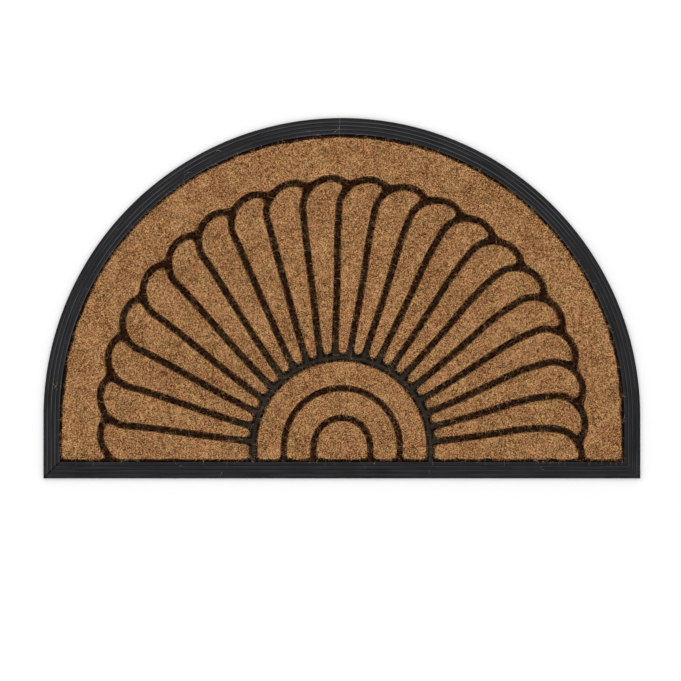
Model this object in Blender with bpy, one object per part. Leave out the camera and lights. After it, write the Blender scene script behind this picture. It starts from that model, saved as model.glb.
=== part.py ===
"""Half-round coir doormat: fields of short coir pile standing in a moulded rubber tray.

All lengths are metres. The underside lies on z = 0, x runs along the straight bottom edge and
y from that edge to the crown of the arch, and the origin is the middle of the footprint.

The rubber tray is one moulding. A ridged border slopes up from its outer edge, and ribs of the
same height as the border's inner edge part the coir into a scallop-shell fan: spokes leave an
arch round the centre, and each one hooks clockwise over the tip of its petal on to the next
spoke. Every coir field fills the pocket between its ribs and stands higher than them.
"""
import math

import bmesh
import bpy
from mathutils import Vector
from mathutils.geometry import intersect_line_line_2d

# Outline: an arch on short upright sides
WIDTH = 0.750
ARCH_RADIUS = WIDTH / 2
STRAIGHT_SIDE = 0.078
DEPTH = STRAIGHT_SIDE + ARCH_RADIUS
BOTTOM = -DEPTH / 2
ARCH_CENTRE = Vector((0.0, BOTTOM + STRAIGHT_SIDE))
ARCH_STEPS = 64

# Heights
BASE_THICKNESS = 0.0025
EDGE_HEIGHT = 0.0040
RIM_HEIGHT = 0.0090
PILE_HEIGHT = 0.0150

# Border: a slope of bands that run round the mat, each ending in a fine ridge at its inner side
BORDER_WIDTH = 0.0210
EDGE_CHAMFER = 0.0008
BANDS = 4
RIDGE_PLACE = 0.88
RIDGE_RISE = 0.0006

# Ribs, and the walls of the pockets between them
RIB_FOOT = 0.0070
DRAFT = 0.0012
CLEARANCE = 0.0003
PILE_SHOULDER = 0.0012
CUT_OVERSHOOT = 0.0010

# Fan: spokes spring from the largest of three nested arches
FAN_CENTRE = Vector((0.0, BOTTOM + 0.041))
ARCH_RIBS = {"outer": 0.111, "inner": 0.072, "core": 0.035}
ARCH_RIB_STEPS = {"outer": 36, "inner": 28, "core": 18}
SPOKES = 20
FIRST_SPOKE = math.radians(177.1)
SPOKE_PITCH = math.radians(9.18)

# Petal tips: stations on a circle, a little closer together from left to right
TIP_CENTRE = Vector((0.0, BOTTOM + 0.072))
TIP_RADIUS = 0.295
FIRST_TIP = math.radians(172.0)
TIP_PITCH = math.radians(10.42)
TIP_CLOSING = math.radians(0.041)

# Course of a spoke past its shoulder, from its station on the tip circle:
# "along" is clockwise round the circle, "out" is away from its centre
HOOK = (
    # along,    out
    (-0.0420, -0.0425),
    (-0.0425, -0.0180),
    (-0.0335, -0.0020),
    (-0.0230, 0.0060),
    (-0.0080, 0.0100),
    (0.0075, 0.0065),
    (0.0155, -0.0005),
    (0.0215, -0.0100),
)

# Sideways bow of a spoke's long run, clockwise: none up to the fifth spoke, whole from the tenth
BOW = 0.0045
BOW_REACH = 0.70
STRAIGHT_SPOKES = 5
BOWED_SPOKES = 10

# The small hook that closes the first petal: from the bottom border up to the first spoke,
# measured from the middle of the straight bottom edge
CLOSING_HOOK = (
    # x,       y
    (-0.2740, 0.0120),
    (-0.2870, 0.0220),
    (-0.2985, 0.0380),
    (-0.3030, 0.0550),
    (-0.2985, 0.0720),
    (-0.2880, 0.0850),
)

SPOKE_STEPS = 6
BEND_STEPS = 2
LEAST_STEP = 0.05

# Colours: base colour, roughness, metallic
RUBBER = ("rubber", (0.022, 0.022, 0.024, 1.0), 0.62, 0.0)
COIR = ("coir", (0.380, 0.170, 0.065, 1.0), 0.95, 0.0)


def polar(centre, radius, angle):
    """Point at a distance and direction from a centre in the plan."""
    return centre + radius * Vector((math.cos(angle), math.sin(angle)))


def half_round(inset):
    """Closed outline of the mat moved inwards, counter-clockwise from its bottom left corner."""
    side = ARCH_RADIUS - inset
    corners = [Vector((-side, BOTTOM + inset)), Vector((side, BOTTOM + inset))]
    turns = [math.pi * step / ARCH_STEPS for step in range(ARCH_STEPS + 1)]
    return corners + [polar(ARCH_CENTRE, side, turn) for turn in turns]


def stilted_arch(centre, radius, steps):
    """Arch on two legs, from its left foot clockwise to its right foot on the bottom edge."""
    left_foot = Vector((-radius, BOTTOM))
    right_foot = Vector((radius, BOTTOM))
    turns = [math.pi * (1 - step / steps) for step in range(steps + 1)]
    return [left_foot] + [polar(centre, radius, turn) for turn in turns] + [right_foot]


def smooth_through(points, start_direction, steps):
    """Smooth curve through points; steps holds the number of pieces of each span.

    Each span is a cubic whose end slopes weigh the chords on either side by their lengths,
    so that a long straight span runs into short bends without a loop.
    """
    lengths = [(b - a).length for a, b in zip(points, points[1:])]
    chords = [(b - a).normalized() for a, b in zip(points, points[1:])]
    slopes = [start_direction]
    for i in range(1, len(chords)):
        mixed = chords[i] * lengths[i - 1] + chords[i - 1] * lengths[i]
        slopes.append(mixed / (lengths[i - 1] + lengths[i]))
    slopes.append(chords[-1])
    curve = [points[0]]
    for i, pieces in enumerate(steps):
        for piece in range(1, pieces + 1):
            t = piece / pieces
            along = (3 - 2 * t) * t * t
            leave = t * (1 - t) ** 2 * lengths[i]
            arrive = t * t * (t - 1) * lengths[i]
            place = points[i].lerp(points[i + 1], along)
            curve.append(place + slopes[i] * leave + slopes[i + 1] * arrive)
    return curve


def bowed(line, sideways, bow):
    """Line pushed sideways: most in the middle of its first part, and not at all past that."""
    runs = [0.0]
    for a, b in zip(line, line[1:]):
        runs.append(runs[-1] + (b - a).length)
    reach = BOW_REACH * runs[-1]
    pushed = []
    for point, run in zip(line, runs):
        push = bow * math.sin(math.pi * min(run / reach, 1.0)) ** 2
        pushed.append(point + sideways * push)
    return pushed


def spoke(number):
    """Centre line of one spoke, from inside the outer arch rib out and over its petal's tip."""
    turn = FIRST_SPOKE - SPOKE_PITCH * number
    ray = Vector((math.cos(turn), math.sin(turn)))
    root = FAN_CENTRE + ray * (ARCH_RIBS["outer"] - RIB_FOOT)
    station_turn = FIRST_TIP - TIP_PITCH * number + TIP_CLOSING * number ** 2
    station = polar(TIP_CENTRE, TIP_RADIUS, station_turn)
    out = (station - TIP_CENTRE).normalized()
    clockwise = Vector((out.y, -out.x))
    bends = [station + clockwise * along + out * away for along, away in HOOK]
    steps = [SPOKE_STEPS] + [BEND_STEPS] * (len(HOOK) - 1)
    chord = (bends[0] - root).normalized()
    line = smooth_through([root] + bends, (ray + chord).normalized(), steps)
    share = (number - STRAIGHT_SPOKES) / (BOWED_SPOKES - STRAIGHT_SPOKES)
    return bowed(line, Vector((chord.y, -chord.x)), BOW * min(max(share, 0.0), 1.0))


def closing_hook():
    """Centre line of the rib that closes the first petal, from the bottom border upwards."""
    points = [Vector((x, BOTTOM + y)) for x, y in CLOSING_HOOK]
    start = (points[1] - points[0]).normalized()
    return smooth_through(points, start, [BEND_STEPS] * (len(points) - 1))


def parallel(line, distance):
    """Line moved to the left of its own direction, its corners mitred."""
    if distance == 0:
        return line
    normals = []
    for a, b in zip(line, line[1:]):
        run = (b - a).normalized()
        normals.append(Vector((-run.y, run.x)))
    before = [normals[0]] + normals
    after = normals + [normals[-1]]
    moved = []
    for point, one, two in zip(line, before, after):
        moved.append(point + (one + two) * distance / (1 + one.dot(two)))
    return moved


def crossing(a, b):
    """Where line b first meets line a, as (place on a, place on b, point)."""
    meets = []
    for i in range(len(a) - 1):
        for j in range(len(b) - 1):
            point = intersect_line_line_2d(a[i], a[i + 1], b[j], b[j + 1])
            if point is not None:
                on_a = i + (point - a[i]).length / (a[i + 1] - a[i]).length
                on_b = j + (point - b[j]).length / (b[j + 1] - b[j]).length
                meets.append((on_a, on_b, point))
    return min(meets, key=lambda meet: meet[1])


def field(sides, clearance):
    """Closed outline inside sides that are met counter-clockwise.

    Each side is a line and its half width; the outline keeps that and the clearance to it.
    A point of a side that lies closer to a corner than LEAST_STEP of its segment is left out.
    """
    lines = [parallel(line, half_width + clearance) for line, half_width in sides]
    meets = [crossing(lines[i - 1], lines[i]) for i in range(len(lines))]
    outline = []
    for i, line in enumerate(lines):
        start = meets[i][1]
        end = meets[(i + 1) % len(lines)][0]
        outline.append(meets[i][2])
        for k, point in enumerate(line):
            if start + LEAST_STEP < k < end - LEAST_STEP:
                outline.append(point)
    return outline


def widened(outline, distance):
    """Closed counter-clockwise outline moved outwards, point for point."""
    ring = [outline[-1]] + outline + [outline[0]]
    return parallel(ring, -distance)[1:-1]


def coir_fields():
    """Name and sides of every coir field: the lines round it, counter-clockwise."""
    wall = 0.0
    rib = RIB_FOOT / 2
    foot_inset = BORDER_WIDTH + DRAFT
    low = BOTTOM + foot_inset
    bottom = [Vector((-WIDTH, low)), Vector((WIDTH, low))]
    bottom_left = [Vector((-WIDTH, low)), Vector((0.0, low))]
    bottom_right = [Vector((0.0, low)), Vector((WIDTH, low))]
    rim = stilted_arch(ARCH_CENTRE, ARCH_RADIUS - foot_inset, ARCH_STEPS)[::-1]
    arches = {
        name: stilted_arch(FAN_CENTRE, radius, ARCH_RIB_STEPS[name])
        for name, radius in ARCH_RIBS.items()
    }
    spokes = [spoke(number) for number in range(SPOKES)]
    hook = closing_hook()

    crest = [(line, rib) for line in [hook] + spokes]
    fields = {
        "coir_surround": [(rim, wall), (bottom_left, wall)] + crest + [(bottom_right, wall)],
        "coir_ring_outer": [
            (bottom_left, wall),
            (arches["inner"], rib),
            (bottom_right, wall),
            (arches["outer"][::-1], rib),
        ],
        "coir_ring_inner": [
            (bottom_left, wall),
            (arches["core"], rib),
            (bottom_right, wall),
            (arches["inner"][::-1], rib),
        ],
        "coir_core": [(bottom, wall), (arches["core"][::-1], rib)],
        "coir_petal_01": [
            (bottom_left, wall),
            (arches["outer"], rib),
            (spokes[0], rib),
            (hook[::-1], rib),
        ],
    }
    for number in range(1, SPOKES):
        fields[f"coir_petal_{number + 1:02d}"] = [
            (arches["outer"], rib),
            (spokes[number], rib),
            (spokes[number - 1][::-1], rib),
        ]
    fields[f"coir_petal_{SPOKES + 1:02d}"] = [
        (bottom_right, wall),
        (spokes[-1][::-1], rib),
        (arches["outer"], rib),
    ]
    return fields


def loft(name, sections):
    """Closed solid through level sections (outline, height) with equal numbers of points."""
    mesh = bpy.data.meshes.new(name)
    shape = bmesh.new()
    rings = []
    for outline, height in sections:
        rings.append([shape.verts.new((point.x, point.y, height)) for point in outline])
    count = len(rings[0])
    for lower, upper in zip(rings, rings[1:]):
        for i in range(count):
            j = (i + 1) % count
            shape.faces.new((lower[i], lower[j], upper[j], upper[i]))
    shape.faces.new(rings[0][::-1])
    shape.faces.new(rings[-1])
    shape.to_mesh(mesh)
    shape.free()
    return bpy.data.objects.new(name, mesh)


def border_profile():
    """The border's section as (inset, height), from the underside up to its inner edge."""
    profile = [(0.0, 0.0), (0.0, EDGE_HEIGHT - EDGE_CHAMFER)]
    slope_run = BORDER_WIDTH - EDGE_CHAMFER
    slope_rise = RIM_HEIGHT - EDGE_HEIGHT
    for band in range(BANDS):
        for place, crest in ((0.0, 0.0), (RIDGE_PLACE, RIDGE_RISE)):
            share = (band + place) / BANDS
            inset = EDGE_CHAMFER + slope_run * share
            profile.append((inset, EDGE_HEIGHT + slope_rise * share + crest))
    return profile + [(BORDER_WIDTH, RIM_HEIGHT)]


def make_material(spec):
    """Principled BSDF material from (name, base colour, roughness, metallic)."""
    name, colour, roughness, metallic = spec
    material = bpy.data.materials.new(name)
    material.use_nodes = True
    shader = material.node_tree.nodes["Principled BSDF"]
    shader.inputs["Base Color"].default_value = colour
    shader.inputs["Roughness"].default_value = roughness
    shader.inputs["Metallic"].default_value = metallic
    material.diffuse_color = colour
    return material


def make_tray(parts, cutters, fields):
    """One rubber moulding: the bordered slab with a drafted pocket cut for every field."""
    sections = [(half_round(inset), height) for inset, height in border_profile()]
    tray = loft("rubber_tray", sections)
    tray.data.materials.append(make_material(RUBBER))
    parts.objects.link(tray)

    top = RIM_HEIGHT + CUT_OVERSHOOT
    lean = DRAFT * (top - BASE_THICKNESS) / (RIM_HEIGHT - BASE_THICKNESS)
    for name, sides in fields.items():
        foot = field(sides, 0.0)
        cutter = loft(f"pocket_{name}", [(foot, BASE_THICKNESS), (widened(foot, lean), top)])
        cutter.hide_render = True
        cutter.display_type = "WIRE"
        cutters.objects.link(cutter)
    cut = tray.modifiers.new("pockets", "BOOLEAN")
    cut.operation = "DIFFERENCE"
    cut.operand_type = "COLLECTION"
    cut.collection = cutters
    cut.solver = "EXACT"


def make_pile(parts, name, sides, material):
    """One field of coir: upright sides and a slightly rounded shoulder under the flat top."""
    outline = field(sides, CLEARANCE)
    top = widened(outline, -PILE_SHOULDER)
    floor = BASE_THICKNESS + CLEARANCE
    sections = [(outline, floor), (outline, PILE_HEIGHT - PILE_SHOULDER), (top, PILE_HEIGHT)]
    pile = loft(name, sections)
    pile.data.materials.append(material)
    parts.objects.link(pile)


def main():
    for thing in list(bpy.data.objects):
        bpy.data.objects.remove(thing, do_unlink=True)
    parts = bpy.data.collections.new("coir_doormat")
    cutters = bpy.data.collections.new("cutters")
    bpy.context.scene.collection.children.link(parts)
    bpy.context.scene.collection.children.link(cutters)

    fields = coir_fields()
    make_tray(parts, cutters, fields)
    coir = make_material(COIR)
    for name, sides in fields.items():
        make_pile(parts, name, sides, coir)


main()
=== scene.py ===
# %% [markdown]
# # Half-round coir doormat
# A doormat of this make is one rubber moulding with short coconut fibre, called coir, standing in
# its pockets. The plain solids of the mat come in as a fixed frame. This lesson dresses them: a
# rubber tray with a banded border, ribs that draw a scallop-shell fan, and fields of cut fibre.
# Everything is worked out in metres in that frame, so each piece is built where it belongs.

# %% Frame
import math

import bpy
import numpy as np
from mathutils.geometry import delaunay_2d_cdt
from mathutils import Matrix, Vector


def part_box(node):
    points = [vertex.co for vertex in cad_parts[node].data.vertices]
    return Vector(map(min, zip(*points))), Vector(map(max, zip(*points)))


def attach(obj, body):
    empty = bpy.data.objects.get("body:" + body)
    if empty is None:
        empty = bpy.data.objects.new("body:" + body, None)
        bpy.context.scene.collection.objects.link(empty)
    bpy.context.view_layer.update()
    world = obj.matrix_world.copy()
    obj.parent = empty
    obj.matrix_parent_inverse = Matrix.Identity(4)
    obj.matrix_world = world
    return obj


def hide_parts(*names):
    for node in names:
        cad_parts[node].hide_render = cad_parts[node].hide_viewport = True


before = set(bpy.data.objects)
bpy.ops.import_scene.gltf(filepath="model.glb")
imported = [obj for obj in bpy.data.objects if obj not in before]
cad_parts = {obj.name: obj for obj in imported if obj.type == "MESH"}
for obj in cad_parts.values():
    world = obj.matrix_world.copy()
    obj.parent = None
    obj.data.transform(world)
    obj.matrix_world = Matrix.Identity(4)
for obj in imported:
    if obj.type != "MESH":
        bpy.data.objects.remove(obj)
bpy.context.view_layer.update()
print("solids in the frame:", len(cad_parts))

# %% [markdown]
# ## Sizes
# The tray's box gives the outline, and a coir field's box gives the height of the pile. The other
# sizes are those that a moulder would put on the drawing. Naming them once keeps the border, the
# ribs and the pile in step with each other.

# %% Sizes
MM = 0.001
tray_low, tray_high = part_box("rubber_tray")
ARCH_RADIUS = tray_high[0]
BOTTOM = tray_low[1]
STRAIGHT_SIDE = 78 * MM
ARCH_Y = BOTTOM + STRAIGHT_SIDE
PILE_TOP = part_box("coir_core")[1][2]

BASE = 2.5 * MM
EDGE_HEIGHT = 4 * MM
RIM_HEIGHT = 9 * MM
BORDER_WIDTH = 21 * MM
BANDS = 4
RIDGE_PLACE = 0.88
RIDGE_RISE = 0.6 * MM
EDGE_ROUND = 0.8 * MM
WALL_FOOT = BORDER_WIDTH + 1.2 * MM
IN_BORDER = BOTTOM + BORDER_WIDTH - 0.4 * MM

FAN_CENTRE = np.array([0.0, BOTTOM + 41 * MM])
ARCH_RIBS = {"outer": 111 * MM, "inner": 72.7 * MM, "core": 35.6 * MM}
SPOKES = 20
TIP_CENTRE = np.array([0.0, BOTTOM + 72 * MM])
TIP_RADIUS = 295 * MM
RIB_FOOT = 7.0 * MM
PILE_TO_RIB = 3.8 * MM

# %% [markdown]
# ## Writing a finish as sums
# A finish is a web of nodes, and most of them only add or multiply. Drawing those by hand hides
# the formula, so a small class wraps a socket and lets plain Python sums lay the nodes. Colours
# keep to Mix nodes, because a Math node would turn them grey.


# %% Sums on sockets
class Signal:
    """A socket that can stand in a sum: every operator lays one Math node."""

    def __init__(self, finish, socket):
        self.finish = finish
        self.socket = socket

    def __add__(self, other):
        return self.finish.maths("ADD", self, other)

    def __sub__(self, other):
        return self.finish.maths("SUBTRACT", self, other)

    def __rsub__(self, other):
        return self.finish.maths("SUBTRACT", other, self)

    def __mul__(self, other):
        return self.finish.maths("MULTIPLY", self, other)

    __radd__ = __add__
    __rmul__ = __mul__


print("signals can be added, taken away and multiplied")

# %% [markdown]
# One more class holds a material. A single method lays any node: its settings come first, and
# then the values or links of its sockets. The others are short names for the nodes that turn up
# again and again.


# %% Finishes
class Finish:
    """One material, with the methods that lay its nodes."""

    def __init__(self, name, **constants):
        self.material = bpy.data.materials.new(name)
        self.material.use_nodes = True
        self.tree = self.material.node_tree
        self.shader = self.tree.nodes["Principled BSDF"]
        for socket, value in constants.items():
            self.shader.inputs[socket.replace("_", " ")].default_value = value

    def fill(self, socket, value):
        """Links a signal to a socket, or writes a plain value on it."""
        if isinstance(value, Signal):
            self.tree.links.new(value.socket, socket)
        else:
            socket.default_value = value

    def node(self, kind, settings, inputs, output=0):
        """Lays a node: its settings first, then its sockets, and gives one of its outputs."""
        made = self.tree.nodes.new(kind)
        for key, value in settings.items():
            if key == "stops":
                while len(made.color_ramp.elements) < len(value):
                    made.color_ramp.elements.new(1.0)
                for element, (place, colour) in zip(made.color_ramp.elements, value):
                    element.position = place
                    element.color = colour
            else:
                setattr(made, key, value)
        for key, value in inputs.items():
            self.fill(made.inputs[key], value)
        return Signal(self, made.outputs[output])

    def maths(self, operation, *values):
        return self.node("ShaderNodeMath", {"operation": operation}, dict(enumerate(values)))

    def step(self, value, low, high):
        """0 below low, 1 above high, and a soft climb between them."""
        limits = {"Value": value, "From Min": low, "From Max": high}
        return self.node("ShaderNodeMapRange", {"interpolation_type": "SMOOTHSTEP"}, limits)

    def mix(self, share, first, second):
        """First colour at share 0, second at share 1."""
        return self.node("ShaderNodeMix", {"data_type": "RGBA"}, {0: share, 6: first, 7: second}, 2)

    def noise(self, vector, scale, detail=3.0, distortion=0.0):
        inputs = {"Vector": vector, "Scale": scale, "Detail": detail, "Distortion": distortion}
        return self.node("ShaderNodeTexNoise", {"noise_dimensions": "3D"}, inputs)

    def vector(self, x, y, z):
        return self.node("ShaderNodeCombineXYZ", {}, {0: x, 1: y, 2: z})

    def wear(self, socket, signal):
        """Feeds a signal into one of the shader's own sockets."""
        self.fill(self.shader.inputs[socket], signal)


def screen(red, green, blue):
    """Colour given as it looks on a screen, 0 to 255, in the linear values that shaders take."""
    shares = [value / 255 for value in (red, green, blue)]
    return (*[s / 12.92 if s < 0.04045 else ((s + 0.055) / 1.055) ** 2.4 for s in shares], 1.0)


print("black on a screen is", screen(0, 0, 0)[:3])

# %% [markdown]
# ## Rubber
# Reclaimed rubber is a soft charcoal with a dull skin. Its border carries flow streaks and pale
# crests along its bands, and painted shade darkens the foot of each band where the ridge before it
# drops. The crests are partly worn pale and partly a painted highlight. Coir dust browns the ribs
# between the petals. All of it follows the distance from the mat's edge, and that distance is a
# short formula of x and y, so the finish reads Object coordinates and needs no unwrapping.


# %% Rubber finish
def rubber_finish(name, gloss, dark_tone_and_groove_shade, pale):
    """Streaks, crests, dust and grain over the inset from the mat's outline; painted shade at band
    feet, painted highlight on crests.

    Inset is the lesser of y - bottom and R - length(x, the part of y above the arch's centre).
    """
    rubber = Finish(name, Specular_IOR_Level=gloss)
    place = rubber.node("ShaderNodeTexCoord", {}, {}, 3)
    x = rubber.node("ShaderNodeSeparateXYZ", {}, {0: place}, 0)
    y = rubber.node("ShaderNodeSeparateXYZ", {}, {0: place}, 1)
    above = rubber.maths("MAXIMUM", y - ARCH_Y, 0.0)
    from_arch = ARCH_RADIUS - rubber.maths("SQRT", x * x + above * above)
    inset = rubber.maths("MINIMUM", from_arch, y - BOTTOM)
    past_mitre = y - BOTTOM - from_arch

    streaks = rubber.noise(rubber.vector(inset * 700, x * 14, y * 14), 1.0, 4.0)
    patches = rubber.noise(place, 28.0)
    grain = rubber.noise(place, 900.0, 2.0)
    band = rubber.maths("FRACT", (inset - EDGE_ROUND) * (BANDS / (BORDER_WIDTH - EDGE_ROUND)))
    crest = rubber.step(band, 0.70, 0.86) * (1 - rubber.step(band, 0.90, 0.98))
    border = 1 - rubber.step(inset, BORDER_WIDTH - 0.4 * MM, BORDER_WIDTH + 0.4 * MM)

    # Crests are pale, partly from wear and partly as a painted highlight, strongest on the arch's
    # left and middle, which face the lamp, and weak on the bottom border.
    streaks_and_groove_shade = rubber.step(streaks * 0.65 + patches * 0.35, 0.34, 0.66) * rubber.step(band, -0.2, 0.5)
    highlit_arch = rubber.step(past_mitre, 0.0, MM) * (1 - rubber.step(x, 0.24, 0.34) * 0.7)
    crest_wear_and_highlight = crest * border * rubber.step(streaks, 0.3, 0.6) * (highlit_arch * 0.6 + 0.2)
    # The skin runs from the dark tone to the pale one along the flow streaks, and darkens towards the
    # foot of each band with painted shade, where the ridge before it drops.
    skin = rubber.mix(streaks_and_groove_shade, dark_tone_and_groove_shade, pale)
    skin_with_crest_highlight = rubber.mix(crest_wear_and_highlight, skin, screen(84, 86, 90))

    # Coir dust browns the ribs, but for the largest arch and the first stretch of its spokes.
    away = rubber.maths("SQRT", x * x + (y - FAN_CENTRE[1]) * (y - FAN_CENTRE[1]))
    clean = rubber.step(away, 0.100, 0.106) * (1 - rubber.step(away, 0.116, 0.150))
    dusty = (1 - border) * (1 - clean) * rubber.step(rubber.noise(place, 60.0), 0.1, 0.5)
    dusted = rubber.mix(dusty * 0.95, skin_with_crest_highlight, screen(43, 21, 7))
    lint = rubber.step(rubber.noise(place, 520.0, 1.0), 0.74, 0.80)
    rubber.wear("Base Color", rubber.mix(lint * 0.3, dusted, screen(96, 84, 72)))
    rubber.wear("Roughness", 0.50 + streaks_and_groove_shade * 0.12 + grain * 0.1)

    relief = streaks * 0.5 + grain * 0.5
    bump = {"Strength": 0.35, "Distance": 0.25 * MM, "Height": relief}
    rubber.wear("Normal", rubber.node("ShaderNodeBump", {}, bump))
    return rubber.material


rubber_skin = rubber_finish("moulded_rubber", 0.20, screen(8, 8, 10), screen(37, 37, 40))
rib_skin = rubber_finish("dusty_rubber", 0.02, screen(42, 37, 32), screen(61, 54, 48))
print("finishes:", rubber_skin.name, rib_skin.name)

# %% [markdown]
# ## Coir
# Coir runs from dark bark brown through tan to straw, with a few russet strands. Thousands of
# strands can't each have a material, so one colour chart holds them all: across it the tone
# changes, and up it a strand goes from a root darkened by painted shade to its bleached tip.
# Each strand's UV picks its own narrow strip of the chart. Real fibre is finer than these
# strands, and short flecks in Object coordinates stand for what is too fine to model, among
# them painted shade in the pits between fibres and pale ends that are partly a painted highlight.

# %% Coir finish
RUSSET = (0.01, 0.11)
TANS = (0.16, 0.93)
HAIRS = (0.97, 0.99)
FLECK_ACROSS, FLECK_ALONG, FLECK_UP = 1150.0, 640.0, 130.0
FLECK_WAYS = (0.4, 1.5, 2.5)
BLEACHING = 0.14


def flecks(coir, angle):
    """Noise drawn out along a direction in plan, and hardly changing with height."""
    place = coir.node("ShaderNodeTexCoord", {}, {}, 3)
    x, y, z = (coir.node("ShaderNodeSeparateXYZ", {}, {0: place}, axis) for axis in range(3))
    along = x * math.cos(angle) + y * math.sin(angle)
    across = y * math.cos(angle) - x * math.sin(angle)
    place = coir.vector(along * FLECK_ALONG, across * FLECK_ACROSS, z * FLECK_UP)
    return coir.noise(place, 1.0, 1.0, 0.6)


def coir_finish():
    """Colour chart: tone along U, root to tip along V, with flecks in Object coordinates that paint
    shade into pits and partly paint highlights on fibre ends.

    The flecks lie three ways, and a coarser noise picks the way at each place. Two slow noises
    make some parts paler than others, and some ruddier.
    """
    coir = Finish("coir_strands", Specular_IOR_Level=0.2, Roughness=0.85)
    chart = coir.node("ShaderNodeUVMap", {"uv_map": "OFBake"}, {})
    tone = coir.node("ShaderNodeSeparateXYZ", {}, {0: chart}, 0)
    height = coir.node("ShaderNodeSeparateXYZ", {}, {0: chart}, 1)
    stops = [
        (0.00, screen(110, 48, 18)),
        (0.08, screen(160, 80, 38)),
        (0.12, screen(186, 106, 58)),
        (0.15, screen(76, 34, 8)),
        (0.30, screen(120, 72, 32)),
        (0.45, screen(154, 104, 58)),
        (0.60, screen(183, 132, 82)),
        (0.75, screen(208, 162, 110)),
        (0.93, screen(232, 196, 148)),
        (0.96, screen(226, 206, 176)),
    ]
    strand = coir.node("ShaderNodeValToRGB", {"stops": stops}, {0: tone})
    fleck = coir.noise(coir.vector(tone * 160, height * 5, 0.0), 1.0, 2.0)
    pinker = coir.mix(coir.step(fleck, 0.5, 0.8) * 0.35, strand, screen(184, 128, 90))
    # A strand darkens towards its root: painted shade, deep in the pile.
    root_shaded = coir.mix(coir.step(height, -0.3, 0.5), screen(62, 32, 13), pinker)

    # Each place takes its flecks from one of the three ways they lie.
    place = coir.node("ShaderNodeTexCoord", {}, {}, 3)
    way = coir.noise(place, 260.0, 1.0)
    second, third = coir.step(way, 0.42, 0.50), coir.step(way, 0.52, 0.60)
    lying = [flecks(coir, angle) for angle in FLECK_WAYS]
    first = lying[0] * (1 - second) + lying[1] * second

    # Low values paint shade into the pits between fibres, and high ones give pale fibre ends, partly
    # a painted highlight.
    bleach = (coir.noise(place, 42.0, 4.0) - 0.5) * BLEACHING
    speck = first * (1 - third) + lying[2] * third + bleach
    ruddy = coir.step(coir.noise(place, 57.0, 3.0), 0.34, 0.66)
    pit_shade_colours = coir.mix(ruddy, screen(76, 35, 0), screen(86, 33, 0))
    pale_ends_and_highlight = coir.mix(ruddy, screen(222, 179, 121), screen(226, 173, 120))
    pit_shaded = coir.mix(1 - coir.step(speck, 0.41, 0.50), root_shaded, pit_shade_colours)
    flecked = coir.mix(coir.step(speck, 0.51, 0.60) * 0.85, pit_shaded, pale_ends_and_highlight)
    coir.wear("Base Color", flecked)
    return coir.material


coir_strands = coir_finish()
print("finish:", coir_strands.name)

# %% [markdown]
# ## Meshes from arrays
# Blender can be handed a whole mesh as a few long arrays, which is far quicker than adding
# corners one at a time. One helper takes the points, the faces and the chart places, and makes a
# finished piece that rides on the mat.


# %% Piece from arrays
def piece(name, points, faces, material, chart=None, crease=None):
    """Mesh object from (n, 3) points and face arrays of any width; chart holds a UV per corner."""
    mesh = bpy.data.meshes.new(name)
    corners = np.concatenate([np.asarray(f, dtype=np.int32).ravel() for f in faces])
    widths = np.concatenate([np.full(len(f), np.shape(f)[1]) for f in faces])
    mesh.vertices.add(len(points))
    mesh.vertices.foreach_set("co", np.asarray(points, dtype=np.float32).ravel())
    mesh.loops.add(len(corners))
    mesh.loops.foreach_set("vertex_index", corners)
    mesh.polygons.add(len(widths))
    mesh.polygons.foreach_set("loop_start", np.cumsum(widths) - widths)
    if chart is not None:
        layer = mesh.uv_layers.new(name="OFBake")
        layer.data.foreach_set("uv", np.asarray(chart, dtype=np.float32).ravel())
    mesh.update(calc_edges=True)
    if crease is not None:
        mesh.polygons.foreach_set("use_smooth", np.ones(len(widths), dtype=bool))
        mesh.set_sharp_from_angle(angle=math.radians(crease))
    mesh.materials.append(material)
    thing = bpy.data.objects.new(name, mesh)
    bpy.context.scene.collection.objects.link(thing)
    return thing


def grid_quads(rows, columns):
    """Quads of a (rows, columns) grid of points, whose columns always close round."""
    row = np.arange(rows - 1)[:, None]
    column = np.arange(columns)[None, :]
    after = (column + 1) % columns
    low, high = row * columns, (row + 1) * columns
    quads = [low + column, low + after, high + after, high + column]
    return np.stack(np.broadcast_arrays(*quads), axis=-1).reshape(-1, 4)


print("a grid of 2 by 3 points, closed round, has", len(grid_quads(2, 3)), "quads")

# %% [markdown]
# ## Rubber tray
# The tray is a thin slab with a sloping border of four bands, each ending in a fine ridge. It
# could be a bevelled board, but the bands and their mitred corners would be hard to place. The
# border is instead a surface of two parameters: a place round the half-round outline, and a
# place up the section. Moving the outline inwards at every step of the section gives mitres by
# itself.

# %% Tray surface
ARC_STEPS = 180
SEAM_WIDTH, SEAM_DEPTH, SEAM_FROM = 1.4 * MM, 1.4 * MM, 3.9 * MM


def half_round(inset):
    """Outlines moved in by each inset, as (insets, places, 2), counter-clockwise.

    The bottom corners come first, then centre + (R - inset) * (cos a, sin a) for a from 0 to pi.
    The first corner has a close neighbour on both sides, so that a seam can be cut there.
    """
    side = ARCH_RADIUS - np.asarray(inset)[:, None]
    low = BOTTOM + np.asarray(inset)[:, None]
    turn = np.linspace(0, math.pi, ARC_STEPS + 1)[None, :]
    x = np.hstack([-side, -side + SEAM_WIDTH, side, side * np.cos(turn), -side])
    y = np.hstack([low, low, low, ARCH_Y + side * np.sin(turn), low + SEAM_WIDTH])
    return np.stack([x, y], axis=-1)


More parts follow.
